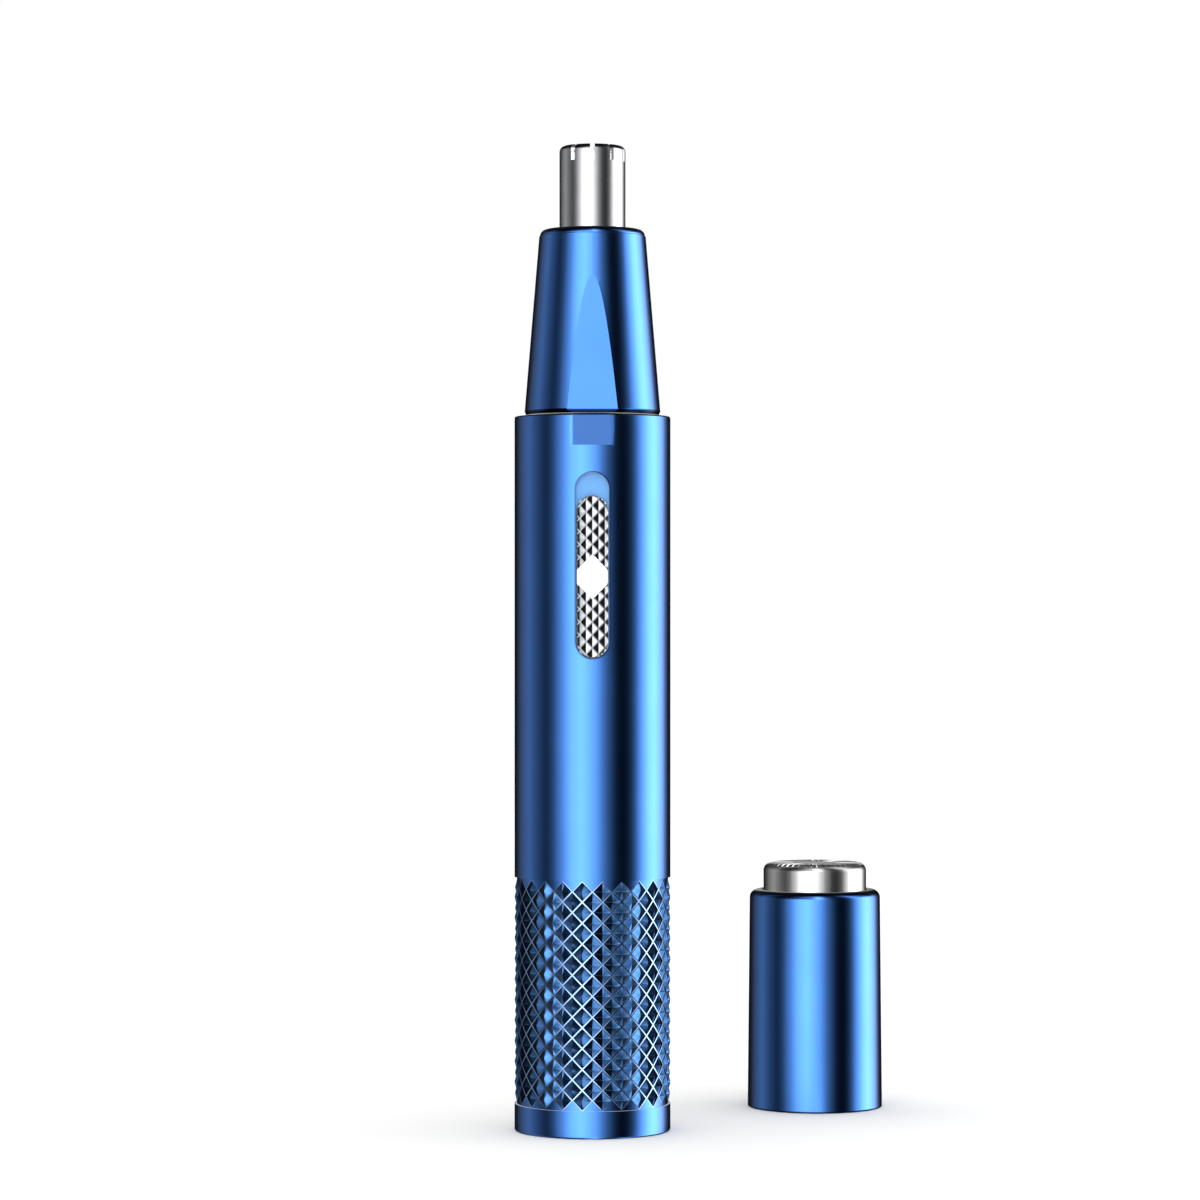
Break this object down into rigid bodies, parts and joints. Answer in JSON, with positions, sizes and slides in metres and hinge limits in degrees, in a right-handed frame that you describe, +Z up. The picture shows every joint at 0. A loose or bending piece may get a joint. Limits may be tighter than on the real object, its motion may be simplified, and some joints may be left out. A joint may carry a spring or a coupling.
{
  "type": "nose hair trimmer",
  "caption": "Pen-shaped rechargeable nose hair trimmer with a knurled blue metal handle, a thumb switch, a pull-off slotted cutting head and a spare foil shaver head.",
  "frame": {"origin": "centre of the handle's flat base, on the surface that it stands on", "axes": "+Z up along the handle's axis towards the cutting head; the switch faces -Y; the spare head stands towards +X"},
  "size_m": [0.0542, 0.0494, 0.14],
  "materials": {
    "blue_anodised": "satin anodised blue",
    "blue_plastic": "gloss",
    "navy_plastic": "satin",
    "black_plastic": "matte",
    "grey_plastic": "matte",
    "white_plastic": "satin",
    "black_rubber": "matte",
    "switch_metal": "polished",
    "steel": "turned",
    "chrome_foil": "polished",
    "nickel": "satin",
    "bronze": "sintered",
    "gold_pads": "polished",
    "copper_wire": "enamelled",
    "magnet": "matte",
    "green_board": "satin",
    "cell_sleeve": "gloss sleeve",
    "red_insulation": "satin",
    "clear_pipe": "gloss"
  },
  "bodies": {
    "handle": {"body_tube": "blue_anodised", "switch_track": "blue_plastic", "end_cap": "navy_plastic", "end_cap_screws": "steel", "end_cap_seal": "black_rubber", "usb_port_shell": "nickel", "usb_port_tongue": "black_plastic", "charge_light_pipe": "clear_pipe", "charge_led": "white_plastic", "circuit_board": "green_board", "board_chips": "black_plastic", "switch_contacts": "gold_pads", "battery_cell": "cell_sleeve", "battery_tabs": "nickel", "chassis_front": "grey_plastic", "chassis_rear": "grey_plastic", "chassis_screws": "steel", "motor_can": "steel", "motor_end_bell": "white_plastic", "motor_magnets": "magnet", "motor_brushes": "gold_pads", "motor_leads": "red_insulation", "head_spigot": "navy_plastic", "spigot_seal": "black_rubber", "shaft_seal": "black_rubber"},
    "rotor": {"motor_shaft": "steel", "motor_armature": "magnet", "motor_windings": "copper_wire", "motor_commutator": "bronze", "drive_coupler": "white_plastic"},
    "switch": {"switch_button": "switch_metal", "switch_carrier": "black_plastic", "switch_wiper": "gold_pads"},
    "nose_head": {"nose_cone": "blue_anodised", "nose_liner": "navy_plastic", "cutter_tube": "steel", "nose_bush": "bronze"},
    "nose_cutter": {"nose_spindle": "steel", "nose_blade": "steel", "nose_spring": "steel", "nose_dog": "white_plastic"},
    "shaver_head": {"shaver_sleeve": "blue_anodised", "shaver_liner": "navy_plastic", "shaver_foil_cup": "chrome_foil", "shaver_bush": "bronze"},
    "shaver_cutter": {"shaver_spindle": "steel", "shaver_blade_holder": "black_plastic", "shaver_blades": "steel", "shaver_spring": "steel", "shaver_dog": "white_plastic"}
  },
  "joints": [
    {"name": "switch_slide", "type": "slide", "parent": "handle", "child": "switch", "axis": [0, 0, 1], "range_m": [0, 0.0031]},
    {"name": "motor_spin", "type": "hinge", "parent": "handle", "child": "rotor", "pos_m": [0, 0, 0.08], "axis": [0, 0, 1], "continuous": true},
    {"name": "nose_head_pull", "type": "slide", "parent": "handle", "child": "nose_head", "axis": [0, 0, 1], "range_m": [0, 0.03]},
    {"name": "nose_cutter_spin", "type": "hinge", "parent": "nose_head", "child": "nose_cutter", "pos_m": [0, 0, 0.12], "axis": [0, 0, 1], "continuous": true},
    {"name": "shaver_head_lift", "type": "slide", "parent": "handle", "child": "shaver_head", "axis": [0, 0, 1], "range_m": [0, 0.04]},
    {"name": "shaver_cutter_spin", "type": "hinge", "parent": "shaver_head", "child": "shaver_cutter", "pos_m": [0.0331, 0.028, 0.02], "axis": [0, 0, 1], "continuous": true}
  ],
  "couplings": [
    {"joint": "nose_cutter_spin", "follows": "motor_spin", "ratio": 1}
  ]
}
